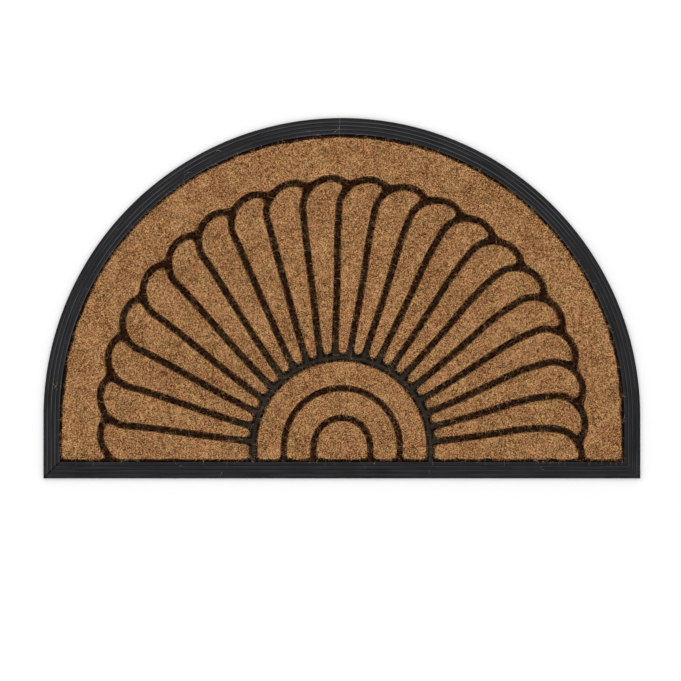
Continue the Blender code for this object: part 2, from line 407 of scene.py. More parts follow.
def border_height(inset):
    """Height of the border: a straight slope, plus a ridge that climbs over each band and drops."""
    run = np.clip((inset - EDGE_ROUND) / (BORDER_WIDTH - EDGE_ROUND), 0, 1)
    place = (run * BANDS) % 1.0
    climb, drop = (place / RIDGE_PLACE) ** 1.6, (1 - place) / (1 - RIDGE_PLACE)
    ridge = np.where(place < RIDGE_PLACE, climb, drop)
    return EDGE_HEIGHT + (RIM_HEIGHT - EDGE_HEIGHT) * run + RIDGE_RISE * ridge


print("rim of the border in mm:", round(float(border_height(BORDER_WIDTH)) / MM, 2))

# %% [markdown]
# The section is a short table of insets and heights: round the outer edge, over the bands, and
# down the wall of the pockets to their floor. The left mitre of the real moulding opens in a
# fine seam, so the heights there drop.

# %% Tray piece
band_places = np.array([0.0, 0.25, 0.5, 0.7, 0.82, 0.87, 0.90, 0.94])
bands = (np.arange(BANDS)[:, None] + band_places).ravel() / BANDS
slope = EDGE_ROUND + bands * (BORDER_WIDTH - EDGE_ROUND)
section = np.vstack([
    np.array([(0.5, 0.0), (0.15, 0.15), (0.0, 0.5), (0.0, 3.0), (0.1, 3.5), (0.35, 3.85)]) * MM,
    np.column_stack([slope, border_height(slope)]),
    np.array([(21.0, 8.95), (21.2, 8.5), (21.4, 7.6), (22.15, 2.7), (22.4, 2.5)]) * MM,
])
outlines = half_round(section[:, 0])
rows, columns = outlines.shape[:2]
heights = np.repeat(section[:, 1, None, None], columns, axis=1)
heights[:, 0] -= SEAM_DEPTH * (section[:, 1, None] > SEAM_FROM)
tray_points = np.concatenate([outlines, heights], axis=-1).reshape(-1, 3)
underside = np.arange(columns)[None, ::-1]
floor = (np.arange(columns) + (rows - 1) * columns)[None, :]
tray_faces = [grid_quads(rows, columns), underside, floor]
tray = piece("rubber_pan", tray_points, tray_faces, rubber_skin, crease=38)
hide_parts("rubber_tray")
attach(tray, "root")
print("tray faces:", len(tray.data.polygons))

# %% [markdown]
# ## Courses of the ribs
# Twenty spokes leave the largest arch, and each hooks clockwise over its petal's tip on to the
# next spoke. Curve objects could draw them, but every hook is the same one, turned to its own
# station on the tip circle, so a formula places them all at once. A smooth cubic runs through
# the bends of each course.

# %% Courses
FIRST_SPOKE, SPOKE_PITCH = math.radians(177.1), math.radians(9.18)
FIRST_TIP, TIP_PITCH, TIP_CLOSING = math.radians(172.0), math.radians(10.42), math.radians(0.041)
HOOK = np.array([
    (-42.0, -42.5), (-42.5, -18.0), (-33.5, -2.0), (-23.0, 6.0),
    (-8.0, 10.0), (7.5, 6.5), (15.5, -0.5), (21.5, -10.0),
]) * MM
CLOSING_HOOK = np.array([
    (-274.0, 12.0), (-287.0, 22.0), (-298.5, 38.0), (-303.0, 55.0), (-298.5, 72.0), (-288.0, 85.0),
]) * MM
BOW, BOW_REACH = 4.5 * MM, 0.70
COURSE_STEP = 4 * MM


def lengths_of(vectors):
    """Root of the sum of squares, along the last axis."""
    return np.sqrt((vectors ** 2).sum(axis=-1, keepdims=True))


def towards(start, end):
    """Unit vector from one place to another."""
    return (end - start) / np.linalg.norm(end - start)


def smooth_through(points, start):
    """Cubic through points, with even steps along it.

    The slope at a bend is the mean of its two chords' directions, each weighed by the other's
    length, and a span is p + (q - p)(3t^2 - 2t^3) + L(m t(1 - t)^2 + n t^2(t - 1)).
    """
    spans = np.diff(points, axis=0)
    far = lengths_of(spans)
    chords = spans / far
    bends = (chords[1:] * far[:-1] + chords[:-1] * far[1:]) / (far[:-1] + far[1:])
    slopes = np.vstack([start, bends, chords[-1]])
    t = np.linspace(0, 1, 41)[None, :, None]
    leave, arrive = slopes[:-1, None], slopes[1:, None]
    curve = points[:-1, None] + spans[:, None] * (3 - 2 * t) * t * t
    curve = curve + far[:, None] * (leave * t * (1 - t) ** 2 + arrive * t * t * (t - 1))
    return even_steps(curve.reshape(-1, 2))


def even_steps(line, step=COURSE_STEP):
    """The same line with points at even distances along it."""
    run = np.concatenate([[0], np.cumsum(lengths_of(np.diff(line, axis=0))[:, 0])])
    places = np.linspace(0, run[-1], max(2, round(run[-1] / step)) + 1)
    return np.column_stack([np.interp(places, run, line[:, axis]) for axis in (0, 1)])


print("bends of a hook:", len(HOOK))

# %% [markdown]
# Each course is cut where it meets the next one, so that two walls never run side by side. The
# three half-rings stand on straight legs that end in the bottom border.


# %% Course lines
def spoke(number):
    """Course of one spoke: out of the large arch, along its petal and over the petal's tip."""
    turn = FIRST_SPOKE - SPOKE_PITCH * number
    ray = np.array([math.cos(turn), math.sin(turn)])
    root = FAN_CENTRE + ray * (ARCH_RIBS["outer"] - RIB_FOOT)
    station = FIRST_TIP - TIP_PITCH * number + TIP_CLOSING * number ** 2
    out = np.array([math.cos(station), math.sin(station)])
    clockwise = np.array([out[1], -out[0]])
    bends = TIP_CENTRE + TIP_RADIUS * out + HOOK[:, :1] * clockwise + HOOK[:, 1:] * out
    chord = towards(root, bends[0])
    line = smooth_through(np.vstack([root, bends]), (ray + chord) / np.linalg.norm(ray + chord))
    share = np.minimum(np.linspace(0, 1, len(line)) / BOW_REACH, 1)[:, None]
    bow = BOW * np.clip((number - 5) / 5, 0, 1) * np.sin(math.pi * share) ** 2
    line = line + bow * np.array([chord[1], -chord[0]])
    return line[lengths_of(line - FAN_CENTRE)[:, 0] > ARCH_RIBS["outer"]]


def cut_at(line, other):
    """The line up to its closest place to the other one, looking at its last quarter only."""
    tail = np.arange(len(line)) > 0.75 * len(line)
    gaps = lengths_of(line[:, None] - other[None])[..., 0].min(axis=1)
    return line[: np.argmin(np.where(tail, gaps, np.inf)) + 1]


def stilted_arch(radius):
    """Half circle on two legs that stand in the bottom border, from left to right."""
    turn = np.linspace(math.pi, 0, 121)
    arc = FAN_CENTRE + radius * np.column_stack([np.cos(turn), np.sin(turn)])
    return even_steps(np.vstack([(-radius, IN_BORDER), arc, (radius, IN_BORDER)]))


spokes = [spoke(number) for number in range(SPOKES)]
closing = smooth_through(CLOSING_HOOK + (0, BOTTOM), towards(CLOSING_HOOK[0], CLOSING_HOOK[1]))
closing = cut_at(closing, spokes[0])
courses = [cut_at(line, after) for line, after in zip(spokes, spokes[1:])]
courses += [line[line[:, 1] > IN_BORDER] for line in (spokes[-1], closing)]
courses += [stilted_arch(radius) for radius in ARCH_RIBS.values()]
print("courses:", len(courses), "with", sum(len(line) for line in courses), "points")

# %% [markdown]
# ## Ribs
# A rib is a low rubber wall with a slightly crowned top and a little draft, so that the moulding
# leaves its tool. Its section is carried along each course, square to it. The moulded rubber is
# never quite even, so smooth noise makes the walls wander by a tenth of a millimetre or two.

# %% Ribs
WEB = 5 * MM
WEB_SHARE = 0.5
RIB_SWAY = 0.16
RIB_DIP = 0.35 * MM
RIB_LIFT, ARCH_LIFT = 0.03 * MM, 0.10 * MM
RIB_SECTION = np.array([
    (-3.4, 2.3), (-2.65, 7.6), (-2.35, 8.55), (-1.7, 8.95), (0.0, 9.05),
    (1.7, 8.95), (2.35, 8.55), (2.65, 7.6), (3.4, 2.3),
]) * MM


def clouds(points, size, seed):
    """Smooth noise from 0 to 1 at (n, 2) places.

    Random numbers stand on a square lattice of that size, and between them the value goes
    a + (b - a)(3t^2 - 2t^3) along x and then along y.
    """
    lattice = np.random.default_rng(seed).random((257, 257))
    cell = np.asarray(points) / size + 1000.0
    corner = np.floor(cell).astype(int)
    t = cell - corner
    t = t * t * (3 - 2 * t)
    i, j = corner[:, 0] % 256, corner[:, 1] % 256
    low = lattice[i, j] * (1 - t[:, 0]) + lattice[i + 1, j] * t[:, 0]
    high = lattice[i, j + 1] * (1 - t[:, 0]) + lattice[i + 1, j + 1] * t[:, 0]
    return low * (1 - t[:, 1]) + high * t[:, 1]


def rib(line, lift, flare):
    """Section carried along a course: p + n * offset in plan, and the section's height.

    Its width grows by flare * exp(-(run / WEB)^2) from both ends, which fills the junctions.
    """
    along = np.gradient(line, axis=0)
    across = np.column_stack([-along[:, 1], along[:, 0]]) / lengths_of(along)
    run = np.minimum(np.arange(len(line)), np.arange(len(line))[::-1]) * COURSE_STEP
    sway = 1 + RIB_SWAY * (clouds(line, 6 * MM, 5) - 0.5) + flare * np.exp(-(run / WEB) ** 2)
    dip = RIB_DIP * (clouds(line, 14 * MM, 6) - 0.5)
    plan = line[:, None] + across[:, None] * RIB_SECTION[None, :, :1] * sway[:, None, None]
    top = RIB_SECTION[None, :, 1] + (dip + lift)[:, None] * (RIB_SECTION[None, :, 1] > 5 * MM)
    points = np.concatenate([plan, top[..., None]], axis=-1)
    stations, width = points.shape[:2]
    first, last = np.arange(width)[None, :], np.arange(width)[None, ::-1] + (stations - 1) * width
    return points.reshape(-1, 3), grid_quads(stations, width)[:, ::-1], first, last


rib_points, rib_faces, total = [], [], 0
for number, line in enumerate(courses):
    is_spoke = number <= SPOKES
    lift = RIB_LIFT * (number % 2) if is_spoke else ARCH_LIFT
    points, *faces = rib(line, lift, WEB_SHARE if is_spoke else 0.0)
    rib_points.append(points)
    rib_faces += [face + total for face in faces]
    total += len(points)
ribs = piece("rubber_ribs", np.vstack(rib_points), rib_faces, rib_skin, crease=50)
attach(ribs, "root")
print("rib faces:", len(ribs.data.polygons))

# %% [markdown]
# ## Outlines of the coir fields
# Each field's flat top gives its outline: it is every edge that only one triangle has. Those
# edges run counter-clockwise, so the outside is always on their right. The solids use few, long
# edges, and the outline is therefore cut into short steps and each point is slid to its true
# distance from the rib beside it. Running means round the corners, where fibre is never dense.
# Along the border the pile was brushed unevenly, and its edge wanders in and out.

# %% Outlines
OUTLINE_STEP = 1.3 * MM
SPOKE_GAP = 4.5 * MM
ARCH_GAPS = (5.4 * MM, 4.1 * MM, 4.1 * MM)
BORDER_GAP = 0.9 * MM
# A place with a smaller inset than these lies at the border and not at a rib.
EDGE_ZONE = WALL_FOOT + 3.5 * MM
FRINGE_ZONE = WALL_FOOT + 6.0 * MM
WANDER, WANDER_CHANCE = 1.2, 3.0
rib_parts = [even_steps(line, 1 * MM) for line in courses]
rib_line = np.vstack(rib_parts)
course_gaps = [SPOKE_GAP] * (SPOKES + 1) + list(ARCH_GAPS)
bed_gaps = np.repeat(course_gaps, [len(part) for part in rib_parts])


def lone_edges(triangles):
    """Starts and ends of the edges that no second triangle shares, from (n, 3, 2) corners."""
    starts = triangles.reshape(-1, 2)
    ends = np.roll(triangles, -1, axis=1).reshape(-1, 2)
    _, number = np.unique(np.round(np.vstack([starts, ends]), 6), axis=0, return_inverse=True)
    first, second = np.split(number.ravel(), 2)
    count = number.max() + 1
    alone = ~np.isin(first * count + second, second * count + first)
    return starts[alone], ends[alone]


def flat_top(node):
    """Plan triangles of a solid's highest level."""
    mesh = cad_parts[node].data
    mesh.calc_loop_triangles()
    places = np.empty(len(mesh.vertices) * 3)
    mesh.vertices.foreach_get("co", places)
    corners = np.empty(len(mesh.loop_triangles) * 3, dtype=np.int32)
    mesh.loop_triangles.foreach_get("vertices", corners)
    triangles = places.reshape(-1, 3)[corners].reshape(-1, 3, 3)
    return triangles[(triangles[:, :, 2] > PILE_TOP - 0.1 * MM).all(axis=1), :, :2]


def inset_of(points):
    """Distance from the mat's outline, as the rubber finish has it."""
    above = np.maximum(points[:, 1] - ARCH_Y, 0)
    return np.minimum(ARCH_RADIUS - np.hypot(points[:, 0], above), points[:, 1] - BOTTOM)


def nearest_on_ribs(points):
    """Number of the closest point of any course, and how far it is."""
    parts = np.array_split(points, len(points) // 400 + 1)
    found = [lengths_of(part[:, None] - rib_line[None])[..., 0] for part in parts]
    closest = np.concatenate([gaps.argmin(axis=1) for gaps in found])
    return closest, np.concatenate([gaps.min(axis=1) for gaps in found])


def slid(points):
    """Points near a rib moved to the bed's distance from its centre line."""
    closest, gap = nearest_on_ribs(points)
    close, wanted = rib_line[closest], bed_gaps[closest]
    moved = close + (points - close) * (wanted / gap)[:, None]
    return np.where((gap < ARCH_GAPS[0] + 1 * MM)[:, None], moved, points)


def wander(points):
    """How far in the pile's edge strays: WANDER cos(4 turn) mm on the arch, and noise."""
    height = points[:, 1] - ARCH_Y
    turn = np.arctan2(height, points[:, 0])
    slow = np.where(height > 0, WANDER * np.cos(4 * turn), 0.0)
    return (slow + WANDER_CHANCE * (clouds(points, 13 * MM, 42) - 0.5)) * MM


def closed_line(starts, ends):
    """The edges put in order as one closed line with even steps."""
    starts, ends = (map(tuple, np.round(places, 6).tolist()) for places in (starts, ends))
    after = dict(zip(starts, ends))
    line = [next(iter(after))]
    while after[line[-1]] != line[0]:
        line.append(after[line[-1]])
    return even_steps(np.array([*line, line[0]]), OUTLINE_STEP)[:-1]


def outline(node):
    """Outline of a coir field, rounded at its corners by two running means."""
    line = closed_line(*lone_edges(flat_top(node)))
    line = slid(line)
    for _ in range(2):
        line = np.mean([np.roll(line, shift, axis=0) for shift in range(-4, 5)], axis=0)
    along = np.roll(line, -1, axis=0) - np.roll(line, 1, axis=0)
    inwards = np.column_stack([-along[:, 1], along[:, 0]]) / lengths_of(along)
    by_border = inset_of(line) < EDGE_ZONE
    return line + inwards * (by_border * (BORDER_GAP + np.maximum(wander(line), 0)))[:, None]


print("outline of the core:", len(outline("coir_core")), "points")

# %% [markdown]
# ## Bed of the pile
# Under the strands lies a bed of packed fibre, seen only between them, and its chart places low
# on the strands' root end paint it with their shade. It has to fill any outline, so a grid won't
# do: scattered points inside the outline are joined by Delaunay triangles, which Blender works out
# in one call. Noise lifts the points into small tufts, and a wall and a flat bottom close the body.

# %% Bed
BED_PITCH = 2.0 * MM
BED_FOOT = BASE + 0.4 * MM
BED_TOP, BED_TUFT, BED_GRAIN = 11.8 * MM, 2.0 * MM, 0.9 * MM


def inside(points, starts, ends):
    """Points with an odd number of outline edges to their right."""
    x, y = points[:, :1], points[:, 1:]
    climb = ends[:, 1] - starts[:, 1]
    spans = (starts[:, 1] > y) != (ends[:, 1] > y)
    run = ends[:, 0] - starts[:, 0]
    meet = starts[:, 0] + (y - starts[:, 1]) * run / np.where(climb == 0, 1, climb)
    return (spans & (x < meet)).sum(axis=1) % 2 == 1


def scattered(starts, ends, pitch, seed):
    """Jittered lattice points inside the outline."""
    low, high = starts.min(axis=0), starts.max(axis=0)
    counts = np.ceil((high - low) / pitch).astype(int) + 1
    lattice = np.indices(counts).reshape(2, -1).T
    jitter = np.random.default_rng(seed).random(lattice.shape)
    points = low + (lattice + jitter - 0.5) * pitch
    parts = np.array_split(points, len(points) // 20000 + 1)
    return points[np.concatenate([inside(part, starts, ends) for part in parts])]


def edge_distance(points, starts, ends):
    """Distance from each point to the outline, and the direction straight out to it."""
    run = ends - starts
    length = (run ** 2).sum(axis=1)
    gaps, ways = [], []
    for part in np.array_split(points, len(points) // 2000 + 1):
        t = np.clip(((part[:, None] - starts) * run).sum(axis=2) / length, 0, 1)
        away = starts + run * t[..., None] - part[:, None]
        far = (away ** 2).sum(axis=2)
        closest = far.argmin(axis=1)
        line = np.arange(len(part))
        gaps.append(np.sqrt(far[line, closest]))
        ways.append(away[line, closest])
    gap = np.concatenate(gaps)
    return gap, np.concatenate(ways) / np.maximum(gap, 1e-9)[:, None]


print("bed pitch in mm:", BED_PITCH / MM)

# %% [markdown]
# The bed's top is joined through the scattered points, and its bottom through the outline alone.
# Triangles outside the outline, in a field's hollows, are dropped by their middles.


# %% Bed body
def joined_inside(rim, edges, filling):
    """Delaunay triangles whose middles lie inside a rim, through the filling points too."""
    places = [tuple(p) for p in np.vstack([rim, filling]).tolist()]
    made = delaunay_2d_cdt(places, edges.tolist(), [], 0, 1e-7, False)
    points, triangles = np.array([tuple(p) for p in made[0]]), np.array(made[2])
    middles = np.array_split(points[triangles].mean(axis=1), len(triangles) // 20000 + 1)
    kept = [inside(part, rim[edges[:, 0]], rim[edges[:, 1]]) for part in middles]
    triangles = triangles[np.concatenate(kept)]
    a, b, c = (points[triangles[:, k]] for k in range(3))
    turn = (b[:, 0] - a[:, 0]) * (c[:, 1] - a[:, 1]) - (b[:, 1] - a[:, 1]) * (c[:, 0] - a[:, 0])
    return points, np.where((turn < 0)[:, None], triangles[:, ::-1], triangles)


def bed(starts, ends, seed):
    """Closed body of packed fibre: tufted top, upright wall and flat bottom, with its chart."""
    rng = np.random.default_rng(seed)
    rim, number = np.unique(np.round(np.vstack([starts, ends]), 7), axis=0, return_inverse=True)
    edges = np.column_stack(np.split(number.ravel(), 2))
    filling = scattered(starts, ends, BED_PITCH, seed)
    filling = filling[edge_distance(filling, starts, ends)[0] > 0.5 * BED_PITCH]
    top, over = joined_inside(rim, edges, filling)
    under, below = joined_inside(rim, edges, filling[:0])
    rise = BED_TOP + BED_TUFT * clouds(top, 3 * MM, 11) + BED_GRAIN * rng.random(len(top))
    top = np.column_stack([top, rise])
    under = np.column_stack([under, np.full(len(under), BED_FOOT)])
    wall = np.column_stack([edges[:, ::-1], edges + len(top)])
    tone = 0.24 + 0.34 * clouds(top[:, :2], 2 * MM, 12) + 0.22 * rng.random(len(top))
    # Chart places low on the strand's root end give the bed's top the roots' painted shade, and its
    # underside more of it, so the wall darkens downwards.
    height = 0.10 + 0.50 * rng.random(len(top))
    shaded_underside = [0.3 + 0.3 * rng.random(len(under)), 0.02 + 0.06 * rng.random(len(under))]
    chart = np.vstack([np.column_stack([tone, height]), np.column_stack(shaded_underside)])
    faces = [over, wall[:, ::-1], below[:, ::-1] + len(top)]
    return np.vstack([top, under]), faces, np.vstack([chart[face.ravel()] for face in faces])


core = outline("coir_core")
print("points in the core's bed:", len(bed(core, np.roll(core, -1, axis=0), 0)[0]))

# %% [markdown]
# ## Strands
# A strand is a thin closed spike with three sides: a ring at every station but the last, which
# is its point. Hair curves would be lighter, but they don't survive in an exported part. With
# two stations a strand is straight and costs four triangles, and with three it can curl.


# %% Strands
STRIP = 0.006


def strands(paths, widths, tones):
    """Spikes along (n, k, 3) paths: points, triangles and a chart place for every corner.

    Ring corner c of a station is p + w(cos(2 pi c / 3) u + sin(2 pi c / 3) v), where u and v are
    square to the strand and w shrinks towards its point.
    """
    count, stations = paths.shape[:2]
    axis = paths[:, -1] - paths[:, 0]
    axis = axis / lengths_of(axis)
    helper = np.where(np.abs(axis[:, 2:]) > 0.9, (1.0, 0.0, 0.0), (0.0, 0.0, 1.0))
    u = np.cross(axis, helper)
    u = u / lengths_of(u)
    v = np.cross(axis, u)
    turn = 2 * math.pi * np.arange(3) / 3
    ring = u[:, None] * np.cos(turn)[:, None] + v[:, None] * np.sin(turn)[:, None]
    taper = 0.5 * widths[:, None] * np.linspace(1, 0.45, stations)[None, :-1]
    rings = paths[:, :-1, None] + ring[:, None] * taper[:, :, None, None]
    points = np.concatenate([rings.reshape(count, -1, 3), paths[:, -1:]], axis=1)

    c = np.arange(3)
    after = (c + 1) % 3
    faces, chart = [[2, 1, 0]], [[(1, 0.0), (-1, 0.0), (0, 0.04)]]
    for station in range(stations - 2):
        low, high = station / (stations - 1), (station + 1) / (stations - 1)
        here, there = 3 * station, 3 * station + 3
        for a, b in zip(c, after):
            faces += [[here + a, here + b, there + b], [here + a, there + b, there + a]]
            chart += [[(-1, low), (1, low), (1, high)], [(-1, low), (1, high), (-1, high)]]
    last = 3 * (stations - 2)
    low = (stations - 2) / (stations - 1)
    for a, b in zip(c, after):
        faces.append([last + a, last + b, last + 3])
        chart.append([(-1, low), (1, low), (0, 1.0)])
    faces, chart = np.array(faces), np.array(chart, dtype=float)
    per_strand = points.shape[1]
    all_faces = faces[None] + per_strand * np.arange(count)[:, None, None]
    strips = np.broadcast_to(chart, (count, *chart.shape)).copy()
    strips[..., 0] = tones[:, None, None] + STRIP * strips[..., 0]
    return points.reshape(-1, 3), [all_faces.reshape(-1, 3)], strips.reshape(-1, 2)


one_strand = strands(np.array([[(0, 0, 0), (0, 0, 1.0)]]), np.ones(1), np.ones(1))
print("a straight strand has", len(one_strand[1][0]), "faces")

# %% [markdown]
# ## Tones of the fibre
# The tone of a strand follows noise at three sizes: the single strand, the lock it belongs to,
# and broad patches of darker or paler fibre. A lock needs a hard edge, so it takes one random
# number for a whole lattice cell, and smooth noise warps the cells. Russet strands keep together.

# %% Tones
MEAN_TONE, STRAND_TONE, LOCK_TONE, PATCH_TONE = 0.52, 0.16, 0.26, 0.16
RUSSET_SHARE, RUSSET_CLUMPS = 0.03, 0.5


def locks(points, size, seed):
    """Random value from 0 to 1 that whole locks share: one number for each warped lattice cell."""
    warp = np.column_stack([clouds(points, 2 * size, seed + 1), clouds(points, 2 * size, seed + 2)])
    cell = np.floor(points / size + 1.4 * warp + 1000).astype(int) % 256
    return np.random.default_rng(seed).random((256, 256))[cell[:, 0], cell[:, 1]]


def tones_at(plan, rng, lift=0.0):
    """Tone of strands: mean + strand + lock + patch, with russet ones gathered in small clumps."""
    count = len(plan)
    lock = locks(plan, 1.3 * MM, 21) - 0.5
    patch = clouds(plan, 24 * MM, 22) - 0.5
    tone = MEAN_TONE + lift + STRAND_TONE * rng.standard_normal(count)
    tone = tone + LOCK_TONE * lock + PATCH_TONE * patch
    clumps = clouds(plan, 7 * MM, 23) > 0.86
    russet = rng.random(count) < RUSSET_SHARE + RUSSET_CLUMPS * clumps
    return np.where(russet, rng.uniform(*RUSSET, count), np.clip(tone, *TANS))


sample = tones_at(core, np.random.default_rng(0))
print("tones round the core:", round(sample.min(), 2), "to", round(sample.max(), 2))

# %% [markdown]
# ## Pile
# Upright strands fill a field, and their tips drift together into tufts, as brushed coir does.
# Their roots stand on a jittered lattice inside the outline, and near the outline they lean
# outwards a little.

# %% Upright strands
UPRIGHT_PITCH = 1.16 * MM
UPRIGHT_WIDTHS = (0.75, 1.15)
LEAN_FLOW, LEAN_CHANCE, LEAN_OUT = 4.5 * MM, 1.5 * MM, 0.7 * MM
ROOT_LEVEL, ROOT_CHANCE = 10.2 * MM, 1.0 * MM
TIP_LEVEL, TIP_FLOW, TIP_CHANCE = PILE_TOP - 0.9 * MM, 1.0 * MM, 0.5 * MM
SUNK_LOCKS, SUNK_SHARE = 1.6 * MM, 0.16


def upright(starts, ends, seed):
    """Straight strands: root + lean, where the lean is a smooth field plus a little chance."""
    rng = np.random.default_rng(seed)
    roots = scattered(starts, ends, UPRIGHT_PITCH, seed)
    gap, way = edge_distance(roots, starts, ends)
    flow = np.column_stack([clouds(roots, 4 * MM, 31), clouds(roots, 4 * MM, 32)]) - 0.5
    lean = LEAN_FLOW * flow + LEAN_CHANCE * rng.standard_normal(roots.shape)
    lean = lean * np.minimum(1, gap / (2.5 * MM) + 0.25)[:, None]
    tips = roots + (lean + way * (LEAN_OUT * np.exp(-gap / (1.5 * MM)))[:, None])
    low = ROOT_LEVEL + ROOT_CHANCE * rng.random(len(roots))
    high = TIP_LEVEL + TIP_FLOW * clouds(roots, 5 * MM, 33)
    high = high + TIP_CHANCE * rng.standard_normal(len(roots))
    high = high - SUNK_LOCKS * (locks(roots, 1.5 * MM, 34) < SUNK_SHARE)
    paths = np.stack([np.column_stack([roots, low]), np.column_stack([tips, high])], axis=1)
    # Strands near the outline are paler: a painted highlight on the pile's rim.
    pale = 0.10 * np.exp(-gap / (1.2 * MM))
    widths = rng.uniform(*UPRIGHT_WIDTHS, len(roots)) * MM
    return strands(paths, widths, tones_at(0.5 * (roots + tips), rng, pale))


print("upright strands stand", round(UPRIGHT_PITCH / MM, 2), "mm apart")

# %% [markdown]
# Some strands have curled over and lie across the top, a little paler than the rest. Each has
# three stations: it rises, bends over, and comes down again.

# %% Curled strands
CURL_PITCH = 3.4 * MM
CURL_WIDTHS = (0.30, 0.48)
FIRST_REACH, SECOND_REACH = (1.2, 2.4), (1.4, 2.8)
CURL_PALE = 0.14


def curled(starts, ends, seed):
    """Strands that rise, bend over and lie along the top."""
    rng = np.random.default_rng(seed + 500)
    roots = scattered(starts, ends, CURL_PITCH, seed + 500)
    count = len(roots)
    turn = rng.uniform(0, 2 * math.pi, count)
    bend = turn + rng.uniform(-1.2, 1.2, count)
    ways = [np.column_stack([np.cos(angle), np.sin(angle)]) for angle in (turn, bend)]
    first = rng.uniform(*FIRST_REACH, (count, 1)) * MM * ways[0]
    second = rng.uniform(*SECOND_REACH, (count, 1)) * MM * ways[1]
    lift = 0.5 * MM * rng.standard_normal((3, count))
    paths = np.stack([
        np.column_stack([roots, PILE_TOP - 2.2 * MM + lift[0]]),
        np.column_stack([roots + first, PILE_TOP - 0.1 * MM + lift[1] * 0.4]),
        np.column_stack([roots + first + second, PILE_TOP - 0.8 * MM + lift[2]]),
    ], axis=1)
    return strands(paths, rng.uniform(*CURL_WIDTHS, count) * MM, tones_at(roots, rng, CURL_PALE))


print("curled strands lie", round(CURL_PITCH / MM, 2), "mm apart")

# %% [markdown]
# Strands along the edge hide the bed's wall. They lean out over the rib or the border in ragged
# clumps, a few stray far, and their tone is lifted paler as a painted highlight where they catch
# the light. Where the pile's edge wanders out over the border, they are what reaches there.

# %% Rim strands
RIM_STRANDS = 2.6
RIM_WIDTHS, STRAY_WIDTH = (0.6, 0.95), 0.42
OVER_RIB = 1.1
RAGGED, REACH_CHANCE = 3.6, 1.0
STRAY_REACH, STRAY_SHARE = 1.8, 0.40
RIM_SWAY = 0.9 * MM
# Tone lift of the edge strands: a painted highlight on the pile's rim.
RIM_HIGHLIGHT = 0.16


def rim(starts, ends, seed):
    """Strands that stand in front of the bed's wall and lean out towards the rib or border."""
    rng = np.random.default_rng(seed + 900)
    run = ends - starts
    edge = rng.choice(len(starts), int(RIM_STRANDS * lengths_of(run).sum() / MM))
    roots = starts[edge] + run[edge] * rng.random((len(edge), 1))
    out = np.column_stack([run[edge, 1], -run[edge, 0]]) / lengths_of(run[edge])
    along = run[edge] / lengths_of(run[edge])
    count = len(edge)
    ragged = RAGGED * (clouds(roots, 2.4 * MM, 41) - 0.5)
    stray = rng.exponential(STRAY_REACH, count) * (rng.random(count) < STRAY_SHARE)
    over_border = np.maximum(-wander(roots), 0) / MM
    mean_reach = np.where(inset_of(roots) < FRINGE_ZONE, over_border, OVER_RIB)
    reach = (mean_reach + ragged + stray + rng.normal(0, REACH_CHANCE, count)) * MM
    low = rng.uniform(4.0, 10.5, count) * MM
    high = PILE_TOP - rng.uniform(0.2, 2.2, count) * MM
    tips = roots + out * reach[:, None] + along * (RIM_SWAY * rng.standard_normal((count, 1)))
    feet = roots - out * 0.2 * MM
    paths = np.stack([np.column_stack([feet, low]), np.column_stack([tips, high])], axis=1)
    widths = np.where(stray > 1, STRAY_WIDTH, rng.uniform(*RIM_WIDTHS, count)) * MM
    return strands(paths, widths, tones_at(tips, rng, RIM_HIGHLIGHT))


print("strands along a metre of edge:", round(RIM_STRANDS / MM))

# %% [markdown]
# ## Fields in one piece each
# A field's bed and strands are joined into one mesh, which takes the place of the plain solid.
# The field round the fan has so many strands that its upright ones make a piece of their own.

# %% Fields
PIECE_LIMIT = 120000


def joined(name, bodies):
    """One coir piece from bodies of points, faces and a chart place for every corner."""
    starts = np.cumsum([0] + [len(points) for points, _, _ in bodies])
    faces = [face + start for (_, body, _), start in zip(bodies, starts) for face in body]
    points, charts = (np.vstack([body[part] for body in bodies]) for part in (0, 2))
    return piece(name, points, faces, coir_strands, chart=charts)


def dress(node, seed):
    """Pieces for one field: two where its upright strands have over PIECE_LIMIT points."""
    line = outline(node)
    starts, ends = line, np.roll(line, -1, axis=0)
    low = [bed(starts, ends, seed), curled(starts, ends, seed), rim(starts, ends, seed)]
    high = upright(starts, ends, seed)
    name = node.replace("coir", "pile", 1)
    if len(high[0]) < PIECE_LIMIT:
        return [joined(name, [*low, high])]
    return [joined(name, low), joined(name + "_tufts", [high])]


coir_pieces = []
for seed, node in enumerate(sorted(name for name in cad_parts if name.startswith("coir_"))):
    made = dress(node, seed)
    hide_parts(node)
    for field in made:
        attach(field, "root")
    coir_pieces += made
counts = [sum(len(p.vertices) - 2 for p in field.data.polygons) for field in coir_pieces]
print("pile triangles:", sum(counts), "most in one piece:", max(counts))

# %% [markdown]
# ## Loose hairs
# A brushed mat sheds. Long pale hairs bridge the ribs, a few have dropped on to the border, and
# one thread has worked loose at the right. Each is laid out in plan as an arc, and its height is
# then read from what lies below it, smoothed so that it bridges the gaps.

# %% Hairs
HAIR_STATIONS = 7
HAIR_WIDTHS, THREAD_WIDTH = (0.20, 0.34), 0.3 * MM
HAIR_TURN = 1.6
THREADS = [
    [(318, -33), (326, -37), (331, -34), (335, -36), (340, -44), (343, -40)],
    [(-3, 202), (-3.5, 210), (-2.5, 218), (-3, 226)],
    [(-14, 205), (-8, 209), (-4, 212), (-7, 217)],
    [(-363, -107), (-359, -111), (-356, -116)],
    [(-356, -105), (-359, -111), (-362, -114)],
    [(-198, 150), (-195, 157), (-188, 158)],
]


